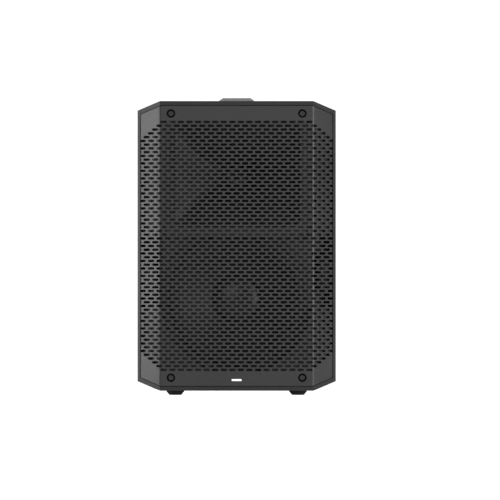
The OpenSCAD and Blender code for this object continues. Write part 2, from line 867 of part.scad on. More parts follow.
module woofer_yoke() {
    color(zinc_colour) difference() {
        union() {
            rod(0, woofer_z, yoke_y, yoke_y + yoke_t, magnet_r - 3);
            rod(0, woofer_z, plate_y, yoke_y + 1, coil_r - pole_gap);
        }
        rod(0, woofer_z, plate_y - over, yoke_y + yoke_t + over, 8);
    }
}

module woofer_terminals() {
    x = spider_r + 10;
    color(brass_colour) union() {
        block([x, spider_y + 2, woofer_z], [x + 2, plate_y - 2, woofer_z + 16]);
        for (z = [4, 12])
            block([x + 2, spider_y + 6, woofer_z + z - 2], [x + 9, spider_y + 7, woofer_z + z + 2]);
    }
}

// ---------- horn and tweeter ----------

// Half size of the horn at a share of its depth, 0 at the mouth and 1 at the throat
function flare(mouth, power, share) = throat_r + (mouth - throat_r) * pow(1 - share, power);

function flare_side(mouth, power, grow) = [for (i = [0:12])
    [horn_front + horn_depth * i / 12, flare(mouth, power, i / 12) + grow]];

function flare_outline(mouth, power, grow) = let(side = flare_side(mouth, power, grow))
    concat([[horn_front - 20, side[0][1]]], side,
        [for (i = [12:-1:0]) [side[i][0], -side[i][1]]], [[horn_front - 20, -side[0][1]]]);

module horn_form(grow) {
    intersection() {
        translate([0, 0, horn_z]) along_x(-cabinet_w / 2, cabinet_w / 2)
            polygon(flare_outline(mouth_z, 2.2, grow));
        mirror([1, 0, 0]) rotate(90) along_z(horn_z - mouth_z - 20, horn_z + mouth_z + 20)
            polygon(flare_outline(mouth_x, 1.15, grow));
    }
}

module at_horn_screws() {
    for (x = [-flange_x + 5.5, flange_x - 5.5])
        for (z = [-flange_low + 6, 0, flange_top - 5])
            translate([x, 0, horn_z + z]) children();
}

module horn() {
    color([0.13, 0.13, 0.14]) difference() {
        union() {
            block([-flange_x, horn_front, horn_z - flange_low],
                [flange_x, horn_front + flange_t, horn_z + flange_top]);
            intersection() {
                horn_form(horn_t);
                between(horn_front, throat_y);
            }
            rod(0, horn_z, throat_y - 5, throat_y, hf_magnet_r);
        }
        horn_form(0);
        rod(0, horn_z, throat_y - 6, throat_y + over, throat_r);
        at_horn_screws() rod(0, 0, horn_front - over, horn_front + flange_t + over, screw_r + 0.2);
        at_hf_bolts() rod(0, 0, throat_y - 12, throat_y + over, screw_r + screw_fit);
    }
}

module horn_screws() {
    color(dark_colour) at_horn_screws() difference() {
        union() {
            rod(0, 0, horn_front, horn_front + flange_t + 12, screw_r);
            rod(0, 0, horn_front - 1.9, horn_front, head_r);
        }
        rod(0, 0, horn_front - 2.5, horn_front - 0.8, 1.4);
    }
}

module at_hf_bolts() {
    for (turn = [45:90:315])
        translate([(hf_magnet_r - 6) * cos(turn), 0, horn_z + (hf_magnet_r - 6) * sin(turn)]) children();
}

module tweeter_front_plate() {
    color(zinc_colour) difference() {
        rod(0, horn_z, throat_y, hf_magnet_y, hf_magnet_r);
        rod(0, horn_z, throat_y - over, throat_y + hf_plate_t / 2, throat_r);
        rod(0, horn_z, throat_y + hf_plate_t / 2, hf_magnet_y + over, dome_r + 4);
        at_hf_bolts() rod(0, 0, throat_y - over, hf_magnet_y + over, screw_r + screw_fit);
    }
}

module tweeter_phase_plug() {
    color(dark_colour) turned(0, horn_z, [
        [0, throat_y - 6], [4, throat_y + 1], [9, throat_y + 3.4], [9, throat_y + 4],
        [dome_r + 4, throat_y + 4], [dome_r + 4, throat_y + 5], [0, throat_y + 5]]);
}

module tweeter_diaphragm() {
    y = throat_y + hf_plate_t / 2;
    color([0.7, 0.7, 0.72]) union() {
        turned(0, horn_z, [
            [0, y + 1.5], [8, y + 1.7], [12, y + 2.1], [dome_r, y + 3], [dome_r, y + 3.4],
            [11.5, y + 2.5], [8, y + 2.1], [0, y + 1.9]]);
        ring(0, horn_z, y + 3.2, hf_magnet_y + 6, dome_r - 0.6, dome_r);
    }
}

module tweeter_magnet() {
    color(ferrite_colour) ring(0, horn_z, hf_magnet_y, hf_yoke_y, dome_r + 6, hf_bolt_in);
}

hf_bolt_in = hf_magnet_r - 9;

module tweeter_yoke() {
    color(zinc_colour) difference() {
        union() {
            rod(0, horn_z, hf_yoke_y, hf_yoke_y + hf_yoke_t, hf_magnet_r);
            rod(0, horn_z, hf_magnet_y + 0.6, hf_yoke_y + over, dome_r - 1.2);
            ring(0, horn_z, hf_magnet_y, hf_magnet_y + 5, dome_r + 0.6, dome_r + 6);
        }
        at_hf_bolts() rod(0, 0, hf_yoke_y - over, hf_yoke_y + hf_yoke_t + over, screw_r + screw_fit);
    }
}

module tweeter_cover() {
    y = hf_yoke_y + hf_yoke_t;
    color(dark_colour) difference() {
        rod(0, horn_z, y, y + 8, hf_magnet_r - 11);
        rod(0, horn_z, y - over, y + 6, hf_magnet_r - 13);
    }
}

module tweeter_bolts() {
    color(steel_colour) at_hf_bolts() {
        rod(0, 0, throat_y - 4, hf_yoke_y + hf_yoke_t, screw_r);
        rod(0, 0, hf_yoke_y + hf_yoke_t, hf_yoke_y + hf_yoke_t + 3, head_r);
    }
}

// ---------- rear panel and electronics ----------

module amp_panel() {
    color([0.12, 0.12, 0.13]) difference() {
        block([-panel_w / 2, gasket_y, panel_z - panel_h / 2], [panel_w / 2, panel_y, panel_z + panel_h / 2]);
        at_panel_screws() rod(0, 0, gasket_y - over, panel_y + over, small_r + 0.2);
        for (x = [-jack_x, jack_x])
            rod(x, jack_z, gasket_y - over, panel_y + over, jack_r + 1.3);
        at_latches() block([-4.3, gasket_y - over, -jack_r], [4.3, panel_y + over, 2.3]);
        at_knobs() rod(0, 0, gasket_y - over, panel_y + over, 3.3);
        rod(-jack_x, button_z, gasket_y - over, panel_y + over, 4.6);
        rod(0, button_z, gasket_y - over, panel_y + over, 3.3);
        rod(jack_x, button_z, gasket_y - over, panel_y + over, 2.3);
        at_lights() rod(0, 0, gasket_y - over, panel_y + over, 1.6);
        block([inlet_x - 14, gasket_y - over, inlet_z - 11], [inlet_x + 14, panel_y + over, inlet_z + 11]);
        block([switch_x - 8, gasket_y - over, inlet_z - 11], [switch_x + 8, panel_y + over, inlet_z + 11]);
    }
}

module panel_gasket() {
    hole_w = panel_w / 2 - ledge_w + 0.5;
    hole_h = panel_h / 2 - ledge_w + 0.5;
    color([0.05, 0.05, 0.05]) difference() {
        block([-panel_w / 2, ledge_y, panel_z - panel_h / 2], [panel_w / 2, gasket_y, panel_z + panel_h / 2]);
        block([-hole_w, ledge_y - over, panel_z - hole_h], [hole_w, gasket_y + over, panel_z + hole_h]);
        at_panel_screws() rod(0, 0, ledge_y - over, gasket_y + over, small_r + 0.2);
    }
}

module panel_screws() {
    color(steel_colour) at_panel_screws() translate([0, panel_y, 0]) mirror([0, 1, 0])
        screw(0, 14, small_r, 2.8, 2);
}

module heat_sink() {
    color(zinc_colour) union() {
        block([-46, gasket_y - 6, sink_z - sink_h / 2], [46, gasket_y, sink_z + sink_h / 2]);
        for (x = [-44:11:44])
            block([x - 1.2, gasket_y - 26, sink_z - sink_h / 2], [x + 1.2, gasket_y - 6, sink_z + sink_h / 2]);
    }
}

amp_low = sink_z - sink_h / 2 - 8;
amp_high = sink_z + sink_h / 2 + 8;

module at_standoffs() {
    for (x = [-54, 54])
        for (z = [amp_low + 4, amp_high - 4])
            translate([x, 0, z]) children();
}

module amp_board() {
    color(board_colour) difference() {
        block([-60, amp_board_y, amp_low], [60, amp_board_y + board_t, amp_high]);
        at_standoffs() rod(0, 0, amp_board_y - over, amp_board_y + 3, 1.6);
    }
}

module board_standoffs() {
    color(brass_colour) at_standoffs() {
        translate([0, amp_board_y + board_t, 0]) rotate([-90, 0, 0])
            cylinder(h = gasket_y - amp_board_y - board_t, r = 3, $fn = 6);
        rod(0, 0, amp_board_y - 2, amp_board_y + board_t, 1.5);
    }
}

// Capacitors, a transformer and two coils on the amplifier board
module power_parts() {
    color([0.15, 0.15, 0.2]) for (x = [-34, -8])
        rod(x, sink_z - 20, amp_board_y - 28, amp_board_y, 11);
    color([0.75, 0.65, 0.25]) block([12, amp_board_y - 24, sink_z - 36], [46, amp_board_y, sink_z - 6]);
    color([0.6, 0.35, 0.15]) for (x = [-44, 24])
        ring(x, sink_z + 22, amp_board_y - 10, amp_board_y, 4, 11);
}

module input_board() {
    color(board_colour) block([-60, board_y, button_z - 10], [60, board_y + board_t, jack_z + 20]);
}

module at_jacks() {
    for (x = [-jack_x, jack_x])
        translate([x, 0, jack_z]) children();
}

module at_latches() {
    for (x = [-jack_x, jack_x])
        translate([x, 0, jack_z + jack_r + 4.5]) children();
}

module at_knobs() {
    for (x = [-knob_x, 0, knob_x])
        translate([x, 0, knob_z]) children();
}

module at_lights() {
    for (x = [-knob_x, 0, knob_x])
        translate([x, 0, knob_z + 17]) children();
}

module input_jacks() {
    color(dark_colour) at_jacks() difference() {
        union() {
            difference() {
                block([-jack_flange, panel_y, -jack_flange - 1], [jack_flange, panel_y + 1.6, jack_flange + 7]);
                block([-4.3, panel_y - over, jack_r + 2.2], [4.3, panel_y + 3, jack_r + 6.8]);
            }
            rod(0, 0, board_y + board_t, panel_y + 1, jack_r + 1.2);
        }
        rod(0, 0, board_y + board_t + 3, panel_y + 2, jack_r);
    }
}

// The sprung tab that lets a plug go
module jack_latch(x) {
    color(steel_colour) translate([x, 0, jack_z + jack_r + 4.5])
        block([-4, panel_y - 9, -2], [4, panel_y + 4.5, 2]);
}

module output_jack() {
    color(dark_colour) difference() {
        union() {
            rod(-jack_x, button_z, board_y + board_t, panel_y, 4.5);
            rod(-jack_x, button_z, panel_y, panel_y + 1.6, 6.5);
        }
        rod(-jack_x, button_z, board_y + board_t + 2, panel_y + 2, 3.25);
    }
}

module aux_jack() {
    color(dark_colour) difference() {
        union() {
            rod(0, button_z, board_y + board_t, panel_y, 3.2);
            rod(0, button_z, panel_y, panel_y + 1.2, 4.6);
        }
        rod(0, button_z, board_y + board_t + 4, panel_y + 2, 1.8);
    }
}

// A knob with a grip of flutes and a pointer line; its shaft turns in the control behind the panel
module knob(x) {
    color([0.18, 0.18, 0.19]) translate([x, 0, knob_z]) union() {
        difference() {
            rod(0, 0, panel_y + 0.4, panel_y + knob_l, knob_r);
            for (turn = [0:30:330])
                translate([(knob_r + 0.6) * cos(turn), 0, (knob_r + 0.6) * sin(turn)])
                    rod(0, 0, panel_y + 2, panel_y + knob_l + over, 1.3);
            block([-0.5, panel_y + knob_l - 0.6, 1.5], [0.5, panel_y + knob_l + over, knob_r - 1.5]);
        }
        rod(0, 0, gasket_y - 8, panel_y + 0.5, 3);
    }
}

module control_pots() {
    color([0.45, 0.46, 0.48]) at_knobs() difference() {
        block([-7, board_y + board_t, -7], [7, gasket_y, 7]);
        rod(0, 0, gasket_y - 8.2, gasket_y + over, 3.05);
    }
}

module mode_button() {
    color([0.2, 0.2, 0.21]) union() {
        rod(jack_x, button_z, board_y + board_t + 3, panel_y + 3.5, 2.2);
        rod(jack_x, button_z, gasket_y - 4, gasket_y - 2, 4);
    }
}

module panel_lights() {
    color(light_colour) at_lights() rod(0, 0, board_y + board_t, panel_y + 0.5, 1.5);
}

module power_inlet() {
    color(dark_colour) difference() {
        union() {
            block([inlet_x - 16, panel_y, inlet_z - 13], [inlet_x + 16, panel_y + 1.6, inlet_z + 13]);
            block([inlet_x - 13.7, panel_y - 22, inlet_z - 10.7], [inlet_x + 13.7, panel_y + 1, inlet_z + 10.7]);
            block([switch_x - 10, panel_y, inlet_z - 13], [switch_x + 10, panel_y + 1.6, inlet_z + 13]);
            block([switch_x - 7.7, panel_y - 22, inlet_z - 10.7], [switch_x + 7.7, panel_y + 1, inlet_z + 10.7]);
            block([inlet_x, panel_y - 22, inlet_z - 6], [switch_x, panel_y - 18, inlet_z + 6]);
        }
        difference() {
            block([inlet_x - 12.2, panel_y - 16, inlet_z - 9], [inlet_x + 12.2, panel_y + 3, inlet_z + 9]);
            for (pin = [[-7, -3], [7, -3], [0, 1]])
                block([inlet_x + pin[0] - 1, panel_y - 17, inlet_z + pin[1] - 2],
                    [inlet_x + pin[0] + 1, panel_y - 2, inlet_z + pin[1] + 2]);
        }
        block([switch_x - 6, panel_y - 14, inlet_z - 9.5], [switch_x + 6, panel_y + 3, inlet_z + 9.5]);
        rod_x(panel_y - 3, inlet_z, switch_x - 7.8, switch_x + 7.8, 1.05);
    }
}

module power_switch() {
    color([0.1, 0.1, 0.1]) union() {
        along_x(switch_x - 5.7, switch_x + 5.7) polygon([
            [panel_y - 4.5, inlet_z - 7.5], [panel_y + 1.6, inlet_z - 8], [panel_y + 0.6, inlet_z],
            [panel_y + 1.6, inlet_z + 8], [panel_y - 4.5, inlet_z + 7.5]]);
        rod_x(panel_y - 3, inlet_z, switch_x - 7.5, switch_x + 7.5, 1);
    }
}

front_shell();
rear_shell();
shell_screws();
front_grille();
grille_washers();
grille_screws();
status_light_lens();
status_light_board();
handle_cup();
handle_bar();
fixing_screws();
feet();
foot_screws();
pole_socket();
bracket_inserts();
port_tubes();
damping_pads();
speaker_wires();
woofer_frame();
woofer_gasket();
woofer_screws();
woofer_surround();
woofer_cone();
woofer_dust_cap();
woofer_voice_coil();
woofer_spider();
woofer_top_plate();
woofer_magnet();
woofer_yoke();
woofer_terminals();
horn();
horn_screws();
tweeter_front_plate();
tweeter_phase_plug();
tweeter_diaphragm();
tweeter_magnet();
tweeter_yoke();
tweeter_cover();
tweeter_bolts();
amp_panel();
panel_gasket();
panel_screws();
heat_sink();
amp_board();
power_parts();
input_board();
board_standoffs();
input_jacks();
jack_latch(-jack_x);  // jack_latch_1
jack_latch(jack_x);  // jack_latch_2
output_jack();
aux_jack();
knob(-knob_x);  // gain_knob_1
knob(0);  // gain_knob_2
knob(knob_x);  // master_knob
control_pots();
mode_button();
power_inlet();
power_switch();
panel_lights();
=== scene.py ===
"""Looks for a two-way powered loudspeaker cabinet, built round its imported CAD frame."""

import math

import bmesh
import bpy
from mathutils import Matrix, Vector


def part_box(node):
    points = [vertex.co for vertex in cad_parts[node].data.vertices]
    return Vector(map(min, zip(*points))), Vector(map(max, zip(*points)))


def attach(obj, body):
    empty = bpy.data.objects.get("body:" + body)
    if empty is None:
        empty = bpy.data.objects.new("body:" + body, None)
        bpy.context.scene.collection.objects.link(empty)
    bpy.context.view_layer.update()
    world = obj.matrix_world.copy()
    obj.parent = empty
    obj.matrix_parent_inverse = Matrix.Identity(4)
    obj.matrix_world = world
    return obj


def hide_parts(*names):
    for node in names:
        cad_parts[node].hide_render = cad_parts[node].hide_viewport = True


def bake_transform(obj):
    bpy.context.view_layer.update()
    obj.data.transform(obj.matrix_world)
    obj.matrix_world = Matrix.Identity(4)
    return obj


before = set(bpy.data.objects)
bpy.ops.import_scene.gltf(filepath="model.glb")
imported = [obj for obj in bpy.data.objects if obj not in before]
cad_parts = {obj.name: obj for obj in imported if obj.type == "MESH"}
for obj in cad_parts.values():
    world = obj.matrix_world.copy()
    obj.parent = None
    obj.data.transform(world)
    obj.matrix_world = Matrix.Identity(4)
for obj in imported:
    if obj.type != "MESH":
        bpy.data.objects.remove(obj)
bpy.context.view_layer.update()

MM = 0.001
GRILLE_LOW, GRILLE_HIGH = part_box("front_grille")
FRONT = GRILLE_LOW.y
MID_Z = (GRILLE_LOW.z + GRILLE_HIGH.z) / 2
SHELL_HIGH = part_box("front_shell")[1]


# ---------- camera, stage and light ----------

CAMERA_DISTANCE = 30.0
CAMERA_X = 0.0187
CAMERA_Z = 0.2033
SEEN_WIDTH = 0.7004
SENSOR_WIDTH = 36
FAR_CLIP = 100
FLOOR_R = 0.9
FLOOR_SIDES = 96
FLOOR_Y = 0.1
FLOOR_DROP = 0.2 * MM
FLOOR_GREY = (0.35, 0.35, 0.35)
FLOOR_ROUGHNESS = 0.6
FLOOR_GLOW = 0.22
FLOOR_GLOW_SEEN = 1.0
WORLD_GLOW = 0.105
WORLD_GLOW_SEEN = 1.1

# name, place, aim, size and power
LIGHTS = [
    ("left_softbox", (-2.2, 0.3, 0.5), (0, 0, 0.22), (1.6, 1.8), 37),
    ("right_softbox", (1.9, -1.4, 0.5), (0, 0, 0.22), (0.8, 1.6), 48),
    ("front_fill", (-0.6, -3.2, 1.0), (0, 0, 0.22), (1.4, 1.0), 16.5),
    ("top_light", (0, 0.2, 2.2), (0, 0, 0.3), (1.2, 1.2), 16),
    ("rear_light", (-0.9, 2.4, 1.1), (0, 0, 0.2), (1.2, 1.2), 60),
]


def make_camera():
    data = bpy.data.cameras.new("camera")
    data.sensor_width = SENSOR_WIDTH
    data.lens = SENSOR_WIDTH * (CAMERA_DISTANCE + FRONT) / SEEN_WIDTH
    data.clip_end = FAR_CLIP
    camera = bpy.data.objects.new("camera", data)
    camera.location = (CAMERA_X, -CAMERA_DISTANCE, CAMERA_Z)
    camera.rotation_euler = (math.pi / 2, 0, 0)
    bpy.context.collection.objects.link(camera)
    bpy.context.scene.camera = camera
    bpy.context.scene.view_settings.view_transform = "Standard"


def area_light(name, place, aim, size, power):
    data = bpy.data.lights.new(name, "AREA")
    data.shape = "RECTANGLE"
    data.size, data.size_y = size
    data.energy = power
    light = bpy.data.objects.new(name, data)
    light.location = place
    light.rotation_euler = (Vector(aim) - Vector(place)).to_track_quat("-Z", "Y").to_euler()
    bpy.context.collection.objects.link(light)


def by_camera_ray(tree, unseen, seen):
    """One value for rays that come straight from the camera and another for the rest."""
    path = tree.nodes.new("ShaderNodeLightPath")
    pick = tree.nodes.new("ShaderNodeMapRange")
    pick.inputs["To Min"].default_value = unseen
    pick.inputs["To Max"].default_value = seen
    tree.links.new(path.outputs["Is Camera Ray"], pick.inputs["Value"])
    return pick.outputs["Result"]


def make_world():
    world = bpy.data.worlds.new("studio")
    bpy.context.scene.world = world
    world.use_nodes = True
    tree = world.node_tree
    back = tree.nodes["Background"]
    back.inputs["Color"].default_value = (1, 1, 1, 1)
    tree.links.new(by_camera_ray(tree, WORLD_GLOW, WORLD_GLOW_SEEN), back.inputs["Strength"])


def make_stage():
    shape = bmesh.new()
    bmesh.ops.create_circle(shape, cap_ends=True, segments=FLOOR_SIDES, radius=FLOOR_R)
    bmesh.ops.translate(shape, verts=shape.verts, vec=(0, FLOOR_Y, -FLOOR_DROP))
    floor = add_object("floor", shape)
    material, shader = new_material("pale_floor", FLOOR_GREY, FLOOR_ROUGHNESS)
    shader.inputs["Emission Color"].default_value = (1, 1, 1, 1)
    tree = material.node_tree
    tree.links.new(by_camera_ray(tree, FLOOR_GLOW, FLOOR_GLOW_SEEN), shader.inputs["Emission Strength"])
    floor.data.materials.append(material)


# ---------- mesh helpers ----------

MERGE = 2e-6
FLAT_ANGLE = 1.0
EDGE_ANGLE = 28
EDGE_SEGMENTS = 2
EDGE_SMOOTH = 40


def to_mesh(name, shape):
    mesh = bpy.data.meshes.new(name)
    shape.to_mesh(mesh)
    shape.free()
    return mesh


def add_object(name, shape, smooth_angle=None):
    mesh = to_mesh(name, shape)
    thing = bpy.data.objects.new(name, mesh)
    bpy.context.collection.objects.link(thing)
    if smooth_angle is not None:
        mesh.shade_smooth()
        mesh.set_sharp_from_angle(angle=math.radians(smooth_angle))
    return thing


def finish_piece(piece, body, slot, material, *nodes):
    piece.data.materials.clear()
    piece.data.materials.append(material)
    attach(piece, body)
    if nodes:
        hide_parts(*nodes)


def softened(node, name, width):
    """A copy of a CAD node with its flat faces joined and its edges rounded."""
    shape = bmesh.new()
    shape.from_mesh(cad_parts[node].data)
    bmesh.ops.remove_doubles(shape, verts=shape.verts, dist=MERGE)
    bmesh.ops.dissolve_limit(shape, angle_limit=math.radians(FLAT_ANGLE),
                             verts=shape.verts, edges=shape.edges)
    sharp = [e for e in shape.edges
             if len(e.link_faces) == 2 and e.calc_face_angle(0) > math.radians(EDGE_ANGLE)]
    bmesh.ops.bevel(shape, geom=sharp, offset=width, offset_type="OFFSET", affect="EDGES",
                    segments=EDGE_SEGMENTS, profile=0.5, clamp_overlap=True, material=-1)
    bmesh.ops.remove_doubles(shape, verts=shape.verts, dist=MERGE)
    bmesh.ops.recalc_face_normals(shape, faces=shape.faces)
    bmesh.ops.triangulate(shape, faces=[f for f in shape.faces if len(f.verts) > 4])
    piece = add_object(name, shape, EDGE_SMOOTH)
    even = piece.modifiers.new("even_normals", "WEIGHTED_NORMAL")
    even.keep_sharp = True
    even.weight = 100
    return piece


def lathe(name, profile, x, z, steps, smooth_angle=35):
    """A closed profile of (radius, y) points in millimetres, turned about a line along Y."""
    shape = bmesh.new()
    points = [shape.verts.new((r * MM, y * MM, 0)) for r, y in profile]
    edges = [shape.edges.new((a, b)) for a, b in zip(points, points[1:] + points[:1])
             if not (a.co.x < 1e-9 and b.co.x < 1e-9)]
    bmesh.ops.spin(shape, geom=points + edges, cent=(0, 0, 0), axis=(0, 1, 0), dvec=(0, 0, 0),
                   angle=math.tau, steps=steps, use_merge=True)
    bmesh.ops.remove_doubles(shape, verts=shape.verts, dist=1e-7)
    bmesh.ops.recalc_face_normals(shape, faces=shape.faces)
    bmesh.ops.translate(shape, verts=shape.verts, vec=(x, 0, z))
    return add_object(name, shape, smooth_angle)


def arc(centre, radius, start, end, steps):
    """Points on a round part of a profile, by angle in degrees."""
    return [(centre[0] + radius * math.cos(math.radians(start + (end - start) * i / steps)),
             centre[1] + radius * math.sin(math.radians(start + (end - start) * i / steps)))
            for i in range(steps + 1)]


# ---------- material helpers ----------

CLOUD_SCALE = 9.0
MOTTLE_STRENGTH = 3.0
GLOSS_DRIFT = 0.12
CLOUD_LOW = 0.3
CLOUD_HIGH = 0.7
GRAIN_DEPTH = 0.08 * MM


def new_material(name, colour, roughness):
    material = bpy.data.materials.new(name)
    material.use_nodes = True
    shader = material.node_tree.nodes["Principled BSDF"]
    shader.inputs["Base Color"].default_value = (*colour, 1)
    shader.inputs["Roughness"].default_value = roughness
    return material, shader


def make_speckle_group():
    """Fine moulded or sprayed grain: a height, a broad cloudy mask and a fine mask."""
    group = bpy.data.node_groups.new("speckle", "ShaderNodeTree")
    for name, way in (("Grain Scale", "INPUT"), ("Cloud Scale", "INPUT"), ("Height", "OUTPUT"),
                      ("Cloud", "OUTPUT"), ("Fine", "OUTPUT")):
        group.interface.new_socket(name=name, in_out=way, socket_type="NodeSocketFloat")
    nodes, links = group.nodes, group.links
    entry, leave = nodes.new("NodeGroupInput"), nodes.new("NodeGroupOutput")
    place = nodes.new("ShaderNodeTexCoord")
    cells = nodes.new("ShaderNodeTexVoronoi")
    cells.feature = "SMOOTH_F1"
    fine = nodes.new("ShaderNodeTexNoise")
    fine.inputs["Detail"].default_value = 3
    cloud = nodes.new("ShaderNodeTexNoise")
    cloud.inputs["Detail"].default_value = 4
    height = nodes.new("ShaderNodeMath")
    height.operation = "ADD"
    for texture, scale in ((cells, "Grain Scale"), (fine, "Grain Scale"), (cloud, "Cloud Scale")):
        links.new(place.outputs["Object"], texture.inputs["Vector"])
        links.new(entry.outputs[scale], texture.inputs["Scale"])
    links.new(cells.outputs["Distance"], height.inputs[0])
    links.new(fine.outputs["Fac"], height.inputs[1])
    links.new(height.outputs["Value"], leave.inputs["Height"])
    links.new(cloud.outputs["Fac"], leave.inputs["Cloud"])
    links.new(fine.outputs["Fac"], leave.inputs["Fine"])
    return group


SPECKLE = make_speckle_group()


def textured(name, dark, light, roughness, grain, bump, depth=GRAIN_DEPTH, metallic=0.0, shine=0.5):
    """A grained surface whose colour and gloss drift a little over the piece."""
    material, shader = new_material(name, dark, roughness)
    shader.inputs["Metallic"].default_value = metallic
    shader.inputs["Specular IOR Level"].default_value = shine
    nodes, links = material.node_tree.nodes, material.node_tree.links
    speckle = nodes.new("ShaderNodeGroup")
    speckle.node_tree = SPECKLE
    speckle.inputs["Grain Scale"].default_value = grain
    speckle.inputs["Cloud Scale"].default_value = CLOUD_SCALE
    mottle = nodes.new("ShaderNodeMath")
    mottle.operation = "MULTIPLY"
    links.new(speckle.outputs["Cloud"], mottle.inputs[0])
    links.new(speckle.outputs["Fine"], mottle.inputs[1])
    share = nodes.new("ShaderNodeMath")
    share.operation = "MULTIPLY"
    share.inputs[1].default_value = MOTTLE_STRENGTH
    share.use_clamp = True
    links.new(mottle.outputs["Value"], share.inputs[0])
    colour = nodes.new("ShaderNodeMix")
    colour.data_type = "RGBA"
    colour.inputs["A"].default_value = (*dark, 1)
    colour.inputs["B"].default_value = (*light, 1)
    links.new(share.outputs["Value"], colour.inputs["Factor"])
    links.new(colour.outputs["Result"], shader.inputs["Base Color"])
    gloss = nodes.new("ShaderNodeMapRange")
    gloss.inputs["From Min"].default_value = CLOUD_LOW
    gloss.inputs["From Max"].default_value = CLOUD_HIGH
    gloss.inputs["To Min"].default_value = roughness - GLOSS_DRIFT / 2
    gloss.inputs["To Max"].default_value = roughness + GLOSS_DRIFT / 2
    links.new(speckle.outputs["Cloud"], gloss.inputs["Value"])
    links.new(gloss.outputs["Result"], shader.inputs["Roughness"])
    lift = nodes.new("ShaderNodeBump")
    lift.inputs["Strength"].default_value = bump
    lift.inputs["Distance"].default_value = depth
    links.new(speckle.outputs["Height"], lift.inputs["Height"])
    links.new(lift.outputs["Normal"], shader.inputs["Normal"])
    return material


def lamp_material(name, strength):
    material = textured(name, (0.80, 0.82, 0.85), (0.90, 0.92, 0.95), 0.32, grain=1500, bump=0.05)
    shader = material.node_tree.nodes["Principled BSDF"]
    shader.inputs["Emission Color"].default_value = (1, 1, 1, 1)
    shader.inputs["Emission Strength"].default_value = strength
    return material


def grey(value):
    return (value, value, value * 1.02)


MATERIALS = {
    "shell": textured("moulded_shell", grey(0.028), grey(0.038), 0.50, grain=1400, bump=0.35, shine=0.25),
    "dark": textured("dark_moulding", grey(0.022), grey(0.034), 0.48, grain=1400, bump=0.25),
    "horn": textured("horn_moulding", grey(0.013), grey(0.020), 0.38, grain=1200, bump=0.10, shine=0.35),
    "handle": textured("handle_grip", grey(0.29), grey(0.38), 0.55, grain=1600, bump=0.45),
    "grille": textured("powder_coat", grey(0.030), grey(0.040), 0.46, grain=2200, bump=0.18,
                       depth=0.04 * MM),
    "panel": textured("panel_coat", grey(0.024), grey(0.034), 0.50, grain=2200, bump=0.35),
    "frame": textured("frame_paint", grey(0.014), grey(0.020), 0.40, grain=1500, bump=0.12, shine=0.3),
    "knob": textured("knob_plastic", grey(0.035), grey(0.048), 0.42, grain=1600, bump=0.18),
    "socket": textured("socket_plastic", grey(0.014), grey(0.022), 0.32, grain=1200, bump=0.08),
    "rubber": textured("foot_rubber", grey(0.012), grey(0.022), 0.72, grain=1100, bump=0.35),
    "surround": textured("surround_rubber", grey(0.010), grey(0.017), 0.62, grain=1300, bump=0.25,
                         shine=0.3),
    "cone": textured("cone_pulp", grey(0.010), grey(0.018), 0.52, grain=420, bump=0.55,
                     depth=0.15 * MM, shine=0.25),
    "cap": textured("dust_cap", grey(0.014), grey(0.022), 0.34, grain=900, bump=0.20, shine=0.4),
    "spider": textured("spider_cloth", (0.42, 0.27, 0.08), (0.58, 0.40, 0.14), 0.85, grain=1500,
                       bump=0.8, depth=0.2 * MM),
    "copper": textured("coil_copper", (0.62, 0.27, 0.11), (0.78, 0.38, 0.18), 0.35, grain=2500,
                       bump=0.4, metallic=0.9),
    "ferrite": textured("ferrite", grey(0.035), grey(0.06), 0.62, grain=700, bump=0.35),
    "zinc": textured("zinc_plate", grey(0.50), grey(0.62), 0.36, grain=1200, bump=0.08, metallic=1.0),
    "screw": textured("screw_steel", grey(0.20), grey(0.28), 0.40, grain=1600, bump=0.10, metallic=0.85),
    "black_screw": textured("black_screw", grey(0.03), grey(0.05), 0.42, grain=1500, bump=0.15,
                            metallic=0.5),
    "dark_screw": textured("dark_screw", grey(0.030), grey(0.044), 0.42, grain=1600, bump=0.10,
                           metallic=0.3),
    # Black washer plastic made darker still and almost glossless: partly the washer's own black, partly
    # painted shade of the dish round each grille screw.
    "washer": textured("black_washer_and_dish_shade", grey(0.002), grey(0.005), 0.7, grain=1500, bump=0.15, shine=0.05),
    "aluminium": textured("plain_aluminium", grey(0.62), grey(0.74), 0.34, grain=900, bump=0.10,
                          metallic=1.0),
    "brass": textured("turned_brass", (0.58, 0.40, 0.15), (0.72, 0.53, 0.24), 0.32, grain=1500,
                      bump=0.10, metallic=1.0),
    "board": textured("circuit_board", (0.008, 0.09, 0.035), (0.014, 0.14, 0.055), 0.38, grain=600,
                      bump=0.25),
    "wound": textured("wound_parts", (0.06, 0.05, 0.075), (0.10, 0.08, 0.11), 0.42, grain=800, bump=0.3),
    "foam": textured("gasket_foam", grey(0.014), grey(0.026), 0.85, grain=1600, bump=0.6),
    "wadding": textured("wadding", grey(0.32), grey(0.48), 0.95, grain=500, bump=1.0, depth=1.2 * MM),
    "paint": textured("mark_paint", grey(0.55), grey(0.65), 0.50, grain=1500, bump=0.05),
    "wire": textured("wire_cover", (0.16, 0.012, 0.012), (0.26, 0.02, 0.02), 0.42, grain=900, bump=0.1),
    "lens": lamp_material("lit_lens", 0.55),
    "dim_lens": lamp_material("small_lens", 0.05),
}


# ---------- front grille ----------

FLAT_X = 107.5 * MM
FACET_DEPTH = 38 * MM
FACET_RUN = SHELL_HIGH.x - FLAT_X
CORNER_SLOPE = 13.2 * MM / FACET_RUN
CORNER_X = FLAT_X - 1.3 * MM
SHEET = 1.5 * MM
FOLD_R = 1.6 * MM
FOLD_SHARES = (-1, -0.4, 0.2, 1)

SLOT_PITCH = 12 * MM
ROW_PITCH = 5.26 * MM
SLOT_W = 9.3 * MM
SLOT_H = 3.55 * MM
SLOT_STEPS = 5
ROWS = 67
SPARE_ROWS = 5
HALF_COLUMNS = 13
SHORT_ROWS = 6
TOP_REACH = 102 * MM
REACH_STEP = 6 * MM

